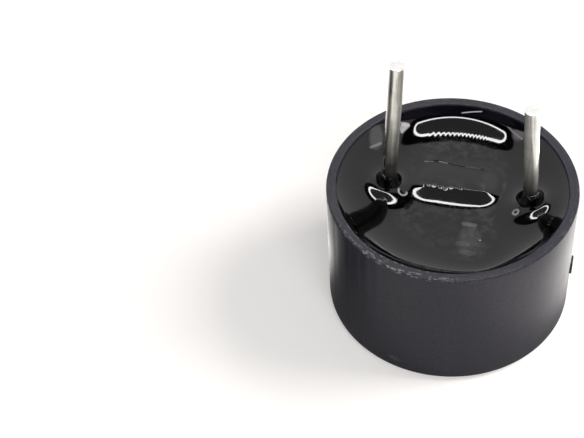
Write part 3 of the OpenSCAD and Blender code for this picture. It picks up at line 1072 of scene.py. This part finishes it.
def painted_reflection_bands(tree, mount, degrees, stops):
    """Painted reflection bands: grey stops from the wire's left to its right, seen from degrees off -Y.
    """
    lean = mount["axis"][0] / mount["axis"][2]
    radius = mount["dims"]["r_mm"] * MM
    cos, sin = math.cos(math.radians(degrees)), math.sin(math.radians(degrees))
    from_foot = vector_math(tree, "SUBTRACT", object_place(tree), foot_of(mount))
    across = vector_math(tree, "DOT_PRODUCT", from_foot, (cos, sin, -lean * cos))
    wobble = place_group(tree, "streaks", Across=1600.0, Along=500.0)["Height"]
    shift = spread(tree, wobble, 0.3, 0.7, -BAND_WOBBLE * radius, BAND_WOBBLE * radius)
    place = spread(tree, calculate(tree, "ADD", across, shift), -radius, radius)
    bands = add_node(tree, "ShaderNodeValToRGB", Fac=place)
    tones = bands.color_ramp.elements
    while len(tones) < len(stops):
        tones.new(0.5)
    for tone, (position, grey) in zip(tones, stops):
        tone.position = position
        tone.color = (grey, 0.98 * grey, 0.91 * grey, 1)
    return bands.outputs["Color"]


# %% Tinned wire
DULL_TONE = (0.34, 0.31, 0.25, 1)
CUT_TONE = (0.82, 0.81, 0.79, 1)
CUP_REFLECTION_TONE = (0.03, 0.028, 0.026, 1)
CUP_SHADE_TONE = (0.005, 0.005, 0.006, 1)
CUP_SHADE_TOP = 1.4 * MM          # from this height above the potting down, painted shade turns the wire black


def tinned_wire(mount, name, degrees, stops, dullness, dark_from, metallic):
    """Tin, painted darker below a height above the potting for the black cup that it mirrors, and black
    with painted shade close to the potting.
    """
    material, tree, shader = new_material(name, Metallic=metallic)
    tone = place_group(tree, "mottle", Scale=900.0, Contrast=1.3, Dark=(0.7, 0.7, 0.7, 1),
                       Light=(1, 1, 1, 1), Gloss_low=0.12, Gloss_high=0.24)
    lines = place_group(tree, "streaks", Across=7000.0, Along=320.0, Cover=0.5, Softness=0.07)
    bands = painted_reflection_bands(tree, mount, degrees, stops)
    up = object_axis(tree, "Z")
    end_z = mount["pos_m"][2] + mount["axis"][2] * mount["dims"]["length_mm"] * MM / 2
    cup_reflection = spread(tree, up, level_z + dark_from, level_z + 0.36 * dark_from, 0.0, 0.96)
    colour = paint(
        # the bands are painted reflections of the surroundings
        tree, mix_colour(tree, 1.0, bands, tone["Colour"], "MULTIPLY"),
        (product(tree, lines["Mask"], dullness), DULL_TONE),
        (spread(tree, up, end_z - 0.05 * MM, end_z - 0.03 * MM), CUT_TONE),
        # a painted reflection of the black cup, then painted shade low in it
        (cup_reflection, CUP_REFLECTION_TONE),
        (spread(tree, up, level_z + CUP_SHADE_TOP, level_z + CUP_SHADE_TOP - 0.5 * MM), CUP_SHADE_TONE),
    )
    give(tree, shader, Base_Color=colour, Roughness=tone["Roughness"])
    below_end = spread(tree, up, end_z - 0.06 * MM, end_z - 0.1 * MM)
    relief(tree, shader, product(tree, lines["Height"], below_end), 0.006 * MM, 0.6)
    return material


# %% Each pin gets its tin
LONG_PIN_REFLECTIONS = ((0, 0.14), (0.17, 0.14), (0.29, 1), (0.52, 1), (0.66, 0.65), (0.8, 0.28), (0.95, 0.5))
SHORT_PIN_REFLECTIONS = ((0, 0.5), (0.3, 0.6), (0.42, 0.6), (0.58, 0.5), (0.7, 0.9), (1, 1))
# Name, degrees off -Y, painted reflection bands, dullness, where the painted darkening starts, and how
# metallic it is.
PIN_FINISHES = {
    "pin_positive": ("tin_dull", 12, LONG_PIN_REFLECTIONS, 0.55, 5.2 * MM, 0.25),
    "pin_negative": ("tin_bright", 4, SHORT_PIN_REFLECTIONS, 0.45, 3.9 * MM, 0.4),
}
for node, pin in pins.items():
    hand_in(pin, node, tinned_wire(PINS[node], *PIN_FINISHES[node]))

# %% [markdown]
# ## The label
#
# The label keeps washing liquid out of the sound hole, and is peeled off afterwards by its tab. It
# is coated paper, cut with a die, and the tab's free end curls a little away from the bench. The
# disc is a thin cylinder. The side faces that look towards the tab are extruded and flattened, the
# vertices at the end are moved back onto two round corners, and cuts across the tab let it curl.

# %% Sizes of the label, from the frame
label_low, label_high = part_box("wash_label")
label_r = -label_low.y
tab_end_y = label_high.y
LABEL_SIDES = 180
TAB_HALF_W = 2.75 * MM
TAB_CORNER_R = 1.2 * MM
TAB_CURL = 0.25 * MM
TAB_CUTS = 8
tab_free_y = case_r          # the tab is free from the case's side on
print("tab reaches", round((tab_end_y - label_r) / MM, 2), "mm past the disc")


# %% The label's disc and tab
def faces_tab(face):
    centre = face.calc_center_median()
    return abs(face.normal.z) < 0.1 and centre.y > 0 and abs(centre.x) < TAB_HALF_W


def tab_edge_at(x):
    """Where the tab ends at a place across it: straight, with a quarter circle at each corner."""
    into_corner = max(abs(x) - (TAB_HALF_W - TAB_CORNER_R), 0.0)
    return tab_end_y - TAB_CORNER_R + math.sqrt(max(TAB_CORNER_R ** 2 - into_corner ** 2, 0.0))


label = new_cylinder("peel_label", label_r, label_low.z, label_high.z, LABEL_SIDES)
edit(label)
pick(label, "FACE", faces_tab)
extrude(y=tab_end_y - label_r)
bpy.ops.transform.resize(value=(1, 0, 1), center_override=(0, tab_end_y, 0))
leave_edit()
for vert in label.data.vertices:
    if vert.co.y > tab_end_y - TOUCH:
        vert.co.y = tab_edge_at(vert.co.x)

# %% The tab's curl
edit(label)
for cut in range(TAB_CUTS):
    bpy.ops.mesh.select_all(action="SELECT")
    cut_y = tab_free_y + cut * (tab_end_y - tab_free_y) / TAB_CUTS
    bpy.ops.mesh.bisect(plane_co=(0, cut_y, 0), plane_no=(0, 1, 0))
leave_edit()
for vert in label.data.vertices:
    if vert.co.y > tab_free_y:
        vert.co.z += TAB_CURL * ((vert.co.y - tab_free_y) / (tab_end_y - tab_free_y)) ** 2
settle(label)

# %% [markdown]
# ### The label's finish
#
# The paper is white with a faint fibre. On its outer face it carries the general sign for a positive
# pin, a plus in a ring, and three plain bars. The print lies on the face that looks down, so its mask
# asks where that face points.

# %% The label's print
MARK_Y = 6.3 * MM
MARK_RING_R = 1.3 * MM
MARK_STROKE = 0.16 * MM
INK_SOFT = 0.03 * MM
BARS = ((3.0, 3.15), (0.5, 2.5), (-1.9, 3.5))    # place along Y and half length, in millimetres
BAR_HALF_W = 0.42 * MM


def print_mask(tree):
    """A ring, the two strokes of a plus and three bars, on the side that looks down."""
    edge = MARK_STROKE - INK_SOFT
    marks = [near(tree, distance_to(tree, 0, MARK_Y, 0, FLAT), MARK_RING_R, edge, 2 * INK_SOFT)]
    for degrees in (0, 90):
        marks.append(stroke_at(tree, 0, MARK_Y, degrees, MARK_RING_R, MARK_STROKE))
    for y, half_length in BARS:
        marks.append(stroke_at(tree, 0, y * MM, 0, half_length * MM, BAR_HALF_W))
    looks_down = spread(tree, axis_of(tree, face_normal(tree), "Z"), -0.3, -0.7)
    return product(tree, calculate(tree, "MAXIMUM", *marks), looks_down)


# %% Label paper
def label_paper():
    material, tree, shader = new_material("label_paper", Specular_IOR_Level=0.35)
    tone = place_group(tree, "mottle", Scale=900.0, Contrast=0.7,
                       Dark=(0.80, 0.80, 0.79, 1), Light=(0.88, 0.88, 0.87, 1),
                       Gloss_low=0.45, Gloss_high=0.6)
    ink = place_group(tree, "mottle", Scale=2400.0, Contrast=1.0,
                      Dark=(0.045, 0.055, 0.42, 1), Light=(0.10, 0.12, 0.60, 1),
                      Gloss_low=0.4, Gloss_high=0.5)
    give(tree, shader, Base_Color=mix_colour(tree, print_mask(tree), tone["Colour"], ink["Colour"]),
         Roughness=tone["Roughness"])
    relief(tree, shader, noise(tree, object_place(tree), Scale=6000.0, Detail=4.0), 0.004 * MM, 0.6)
    return material


hand_in(label, "wash_label", label_paper())

# %% [markdown]
# ## The parts inside
#
# Nothing of these shows on a whole buzzer, but each is a real part of it, so each keeps its CAD
# shape and gets the finish of what it is made of. One function makes each finish from two tones and
# a soft relief. A part that was turned, rolled or wound also gets fine regular lines, and a board
# the lines of its weave.

# %% A finish from two tones
def inner_finish(name, dark, light, gloss, metallic=0.0, scale=900.0, depth=0.003, lines=None):
    """Lines are their kind, direction, scale, depth and distortion. Depths are in millimetres."""
    material, tree, shader = new_material(name, Metallic=metallic)
    tone = place_group(tree, "mottle", Scale=scale, Contrast=1.0, Dark=(*dark, 1), Light=(*light, 1),
                       Gloss_low=gloss[0], Gloss_high=gloss[1])
    give(tree, shader, Base_Color=tone["Colour"], Roughness=tone["Roughness"])
    relief(tree, shader, tone["Height"], depth * MM, 0.6)
    if lines:
        kind, direction, line_scale, line_depth, distortion = lines
        settings = {"wave_type": kind, kind.lower() + "_direction": direction}
        wave = add_node(tree, "ShaderNodeTexWave", settings, Vector=object_place(tree),
                        Scale=line_scale, Distortion=distortion, Detail=2.0)
        relief(tree, shader, wave.outputs["Fac"], line_depth * MM)
    return material


# %% Metals, ferrite and plastics, and the parts that they are on
INNER_FINISHES = {
    "sprung_steel": dict(dark=(0.40, 0.40, 0.40), light=(0.52, 0.52, 0.53), gloss=(0.25, 0.38),
                         metallic=1.0, lines=("BANDS", "X", 2600.0, 0.002, 0.5)),
    "ring_brass": dict(dark=(0.50, 0.36, 0.14), light=(0.66, 0.50, 0.22), gloss=(0.25, 0.4),
                       metallic=1.0, lines=("BANDS", "Z", 1800.0, 0.003, 0.5)),
    "magnet_ferrite": dict(dark=(0.030, 0.030, 0.031), light=(0.055, 0.054, 0.053), gloss=(0.55, 0.75),
                           scale=5000.0, depth=0.012),
    "soft_iron": dict(dark=(0.34, 0.35, 0.36), light=(0.47, 0.48, 0.49), gloss=(0.32, 0.5),
                      metallic=1.0, lines=("RINGS", "Z", 2200.0, 0.003, 0.5)),
    "copper_wire": dict(dark=(0.45, 0.16, 0.06), light=(0.62, 0.26, 0.11), gloss=(0.22, 0.36),
                        metallic=0.9, lines=("BANDS", "Z", 3000.0, 0.02, 0.2)),
    "board_laminate": dict(dark=(0.36, 0.27, 0.12), light=(0.45, 0.35, 0.17), gloss=(0.4, 0.55),
                           lines=("BANDS", "DIAGONAL", 1500.0, 0.003, 0.5)),
    "chip_plastic": dict(dark=(0.012, 0.012, 0.013), light=(0.024, 0.024, 0.025), gloss=(0.45, 0.6),
                         scale=6000.0, depth=0.006),
    "resistor_ceramic": dict(dark=(0.010, 0.010, 0.011), light=(0.020, 0.020, 0.022), gloss=(0.25, 0.4),
                             scale=3000.0),
    "solder": dict(dark=(0.48, 0.48, 0.49), light=(0.66, 0.66, 0.66), gloss=(0.18, 0.4),
                   metallic=1.0, scale=1800.0, depth=0.01),
}
INNER_PARTS = {
    "sprung_steel": ["diaphragm"],
    "ring_brass": ["support_ring"],
    "magnet_ferrite": ["ring_magnet"],
    "soft_iron": ["diaphragm_weight", "pole_core", "yoke_plate"],
    "copper_wire": ["drive_winding", "feedback_winding"],
    "board_laminate": ["circuit_board"],
    "chip_plastic": ["oscillator_transistor", "clamp_diode"],
    "resistor_ceramic": ["base_resistor"],
    "solder": ["chip_solder_joints", "coil_solder_joints", "pin_solder_joints"],
}
for finish, look in INNER_FINISHES.items():
    material = inner_finish(finish, **look)
    for node in INNER_PARTS[finish]:
        inner = nodes[node]
        inner.data.materials.clear()
        inner.data.materials.append(material)
    print(finish, "is on", ", ".join(INNER_PARTS[finish]))

# %% [markdown]
# ## The bench and the light
#
# The bench is plain white. It is lit like any surface, so it keeps the buzzer's shadow, and for
# camera rays it also glows a little, so that it reads as white. It is clear from below, so that a
# view of the underside isn't blocked.
#
# The case's satin side mirrors the bench close by. So the bench has soft sheens further out, and a
# shade at the case's foot and front left, that only glossy rays see: they shape the side as soft
# boxes and dark cards would, and leave the bench and its shadow alone.

# %% The bench
BENCH_WIDTH = 1.6            # metres
BENCH_DROP = 0.02 * MM       # just below the label, so that the two faces don't mix

bpy.ops.object.select_all(action="DESELECT")
bpy.ops.mesh.primitive_grid_add(
    x_subdivisions=8, y_subdivisions=8, size=BENCH_WIDTH, location=(0, 0, -BENCH_DROP)
)
bench = name_it("bench")
apply_place(bench)
print("bench has", len(bench.data.polygons), "faces")

# %% What the case's side mirrors on the bench
SHEEN_ROUND = 0.42           # all round, from some way off
SHEEN_BACK = 1.6
SHEEN_RIGHT = 5.0
SHEEN_LEFT = 6.8
SHADE_FOOT = 0.3
SHADE_LEFT = 0.5


def patch(tree, x, y):
    """A soft rectangle. Along X and Y it has a middle, a half size and a soft edge, in millimetres."""
    return product(tree, *(near(tree, object_axis(tree, axis), *(size * MM for size in sizes))
                           for axis, sizes in (("X", x), ("Y", y))))


def bench_sheen(tree):
    y = object_axis(tree, "Y")
    return calculate(
        tree, "ADD",
        spread(tree, object_radius(tree), 9 * MM, 13 * MM, 0.0, SHEEN_ROUND),
        spread(tree, y, -1 * MM, 5 * MM, 0.0, SHEEN_BACK),
        product(tree, near(tree, object_axis(tree, "X"), 9.5 * MM, 1.5 * MM, 1.5 * MM),
                spread(tree, y, -3 * MM, 3 * MM, 0.3), SHEEN_RIGHT),
        product(tree, patch(tree, (-8.5, 1.2, 1), (2.5, 2, 2)), SHEEN_LEFT),
    )


def bench_shade(tree):
    foot = spread(tree, object_radius(tree), 6 * MM, 8.5 * MM, SHADE_FOOT, 0.0)
    front_left = product(tree, patch(tree, (-8, 2.5, 2), (-4.5, 1.8, 2)), SHADE_LEFT)
    return calculate(tree, "MAXIMUM", foot, front_left)


# %% Bench white
BENCH_GLOW = 0.29
BENCH_TONE = (0.80, 0.79, 0.78, 1)
GLOW_TONE = (1, 0.955, 0.93, 1)


def bench_white():
    material, tree, shader = new_material("bench_white", Roughness=0.9, Specular_IOR_Level=0.1,
                                          Emission_Color=GLOW_TONE)
    path = tree.nodes.new("ShaderNodeLightPath").outputs
    shade = product(tree, path["Is Glossy Ray"], bench_shade(tree))
    sheen = product(tree, path["Is Glossy Ray"], bench_sheen(tree))
    glow = product(tree, path["Is Camera Ray"], BENCH_GLOW)
    give(tree, shader, Base_Color=mix_colour(tree, shade, BENCH_TONE, (0, 0, 0, 1)),
         Emission_Strength=calculate(tree, "ADD", sheen, glow))
    side = tree.nodes.new("ShaderNodeNewGeometry")
    clear = tree.nodes.new("ShaderNodeBsdfTransparent")
    both = add_node(tree, "ShaderNodeMixShader", Fac=side.outputs["Backfacing"])
    tree.links.new(shader.outputs["BSDF"], both.inputs[1])
    tree.links.new(clear.outputs["BSDF"], both.inputs[2])
    tree.links.new(both.outputs["Shader"], tree.nodes["Material Output"].inputs["Surface"])
    return material


bench.data.materials.append(bench_white())

# %% [markdown]
# The world is a white studio. The camera, reflections and clear parts see it at full white, and it
# lights the object more softly than that, so that the lamps can shape it.

# %% The world
WORLD_LIGHT = 0.3

world = bpy.data.worlds.new("studio")
bpy.context.scene.world = world
world.use_nodes = True
tree = world.node_tree
path = tree.nodes.new("ShaderNodeLightPath").outputs
rays = [path["Is " + kind + " Ray"] for kind in ("Camera", "Glossy", "Transmission")]
give(tree, tree.nodes["Background"], Color=(1, 1, 1, 1),
     Strength=spread(tree, calculate(tree, "MAXIMUM", *rays), 0.0, 1.0, WORLD_LIGHT, 1.0))
print("the world lights at", WORLD_LIGHT)


# %% The lamps
CASE_MIDDLE = Vector((0, 0, 4)) * MM


def lamp(name, place, size, power, colour=(1, 1, 1)):
    """A square soft box at a place in millimetres, which looks at the case and shows in no mirror."""
    data = bpy.data.lights.new(name, "AREA")
    data.shape = "SQUARE"
    data.size = size * MM
    data.energy = power
    data.color = colour
    made = bpy.data.objects.new(name, data)
    bpy.context.scene.collection.objects.link(made)
    at = Vector(place) * MM
    towards = CASE_MIDDLE - at
    made.matrix_world = Matrix.Translation(at) @ towards.to_track_quat("-Z", "Y").to_matrix().to_4x4()
    made.visible_glossy = False
    print(name, "lamp is", round(towards.length / MM), "mm away")


lamp("key", (168, 55, 175), 110, 0.5, (1.0, 0.97, 0.94))
lamp("fill", (60, -140, 150), 120, 0.22)

# %% [markdown]
# ## What the potting mirrors
#
# A mirror shows what is around it. High over the buzzer hangs a round black board, and on it a ring
# lamp that is a third longer than it is wide. The flat of the pool looks past the board at the white
# studio and stays grey. Wherever the potting leans towards the viewer, at the far wall, at the crest
# and at each pin, it shows the board as black and the ring as a thin white outline. Only reflections
# see the board: it casts no shadow and adds no diffuse light to the object.

# %% The ring lamp's light
RING_HALF = (97 * MM, 131 * MM)      # half its width and half its length
RING_HALF_W = 9 * MM
RING_GLOW = 26.0
BOARD_GREY = 0.45


def ring_lamp():
    """Grey inside the ring, bright on it, and black outside it."""
    material = bpy.data.materials.new("ring_lamp")
    material.use_nodes = True
    tree = material.node_tree
    tree.nodes.clear()
    squeeze = (1, RING_HALF[0] / RING_HALF[1], 1)
    beyond = calculate(tree, "SUBTRACT", distance_to(tree, 0, 0, 0, squeeze), RING_HALF[0])
    on_ring = calculate(tree, "LESS_THAN", calculate(tree, "ABSOLUTE", beyond), RING_HALF_W)
    inside = calculate(tree, "LESS_THAN", beyond, 0.0)
    glow = calculate(tree, "ADD", product(tree, on_ring, RING_GLOW), product(tree, inside, BOARD_GREY))
    light = add_node(tree, "ShaderNodeEmission", Strength=glow)
    output = tree.nodes.new("ShaderNodeOutputMaterial")
    tree.links.new(light.outputs["Emission"], output.inputs["Surface"])
    return material


# %% The ring lamp's board
BOARD_HEADING = math.radians(8.5)    # the ring's long side points this far left of +Y
BOARD_PLACE = Vector((-3, 30, 300)) * MM    # across the heading, along it, and up
BOARD_R = 197 * MM


def new_disc(name, radius, sides):
    bpy.ops.object.select_all(action="DESELECT")
    bpy.ops.mesh.primitive_circle_add(vertices=sides, radius=radius, fill_type="NGON")
    return name_it(name)


def only_in_mirrors(board, material):
    """Gives something beside the object its finish, and hides it from all but glossy rays."""
    board.data.materials.append(material)
    for ray in ("camera", "diffuse", "shadow", "transmission", "volume_scatter"):
        setattr(board, "visible_" + ray, False)
    print(board.name, "shows only in mirrors")


board = new_disc("ring_lamp_board", BOARD_R, 96)
board.rotation_euler.z = BOARD_HEADING
board.location = Matrix.Rotation(BOARD_HEADING, 3, "Z") @ BOARD_PLACE
only_in_mirrors(board, ring_lamp())

# %% The dark behind the camera, which the steep potting round each pin mirrors
CLOTH_PLACE = Vector((13.6, -93.0, 61.0)) * MM
CLOTH_R = 50 * MM

dark = new_material("dark_cloth", Base_Color=(0.002, 0.002, 0.002, 1), Specular_IOR_Level=0)[0]
cloth = new_disc("dark_cloth", CLOTH_R, 64)
cloth.location = CLOTH_PLACE
cloth.rotation_mode = "QUATERNION"
cloth.rotation_quaternion = CLOTH_PLACE.to_track_quat("Z", "Y")
only_in_mirrors(cloth, dark)

# %% A dark neighbour on the left, which the case and the long pin mirror
NEIGHBOUR_PLACE = Vector((-14.5, -6.0, 4.5)) * MM
NEIGHBOUR_HEIGHT = 9 * MM

bpy.ops.object.select_all(action="DESELECT")
bpy.ops.mesh.primitive_cylinder_add(
    vertices=48, radius=case_r, depth=NEIGHBOUR_HEIGHT, location=NEIGHBOUR_PLACE
)
only_in_mirrors(name_it("dark_neighbour"), dark)

# %% [markdown]
# ## Colour
#
# The view transform is Standard, so a colour renders as it is written.

# %% Colour and the end
bpy.context.scene.view_settings.view_transform = "Standard"
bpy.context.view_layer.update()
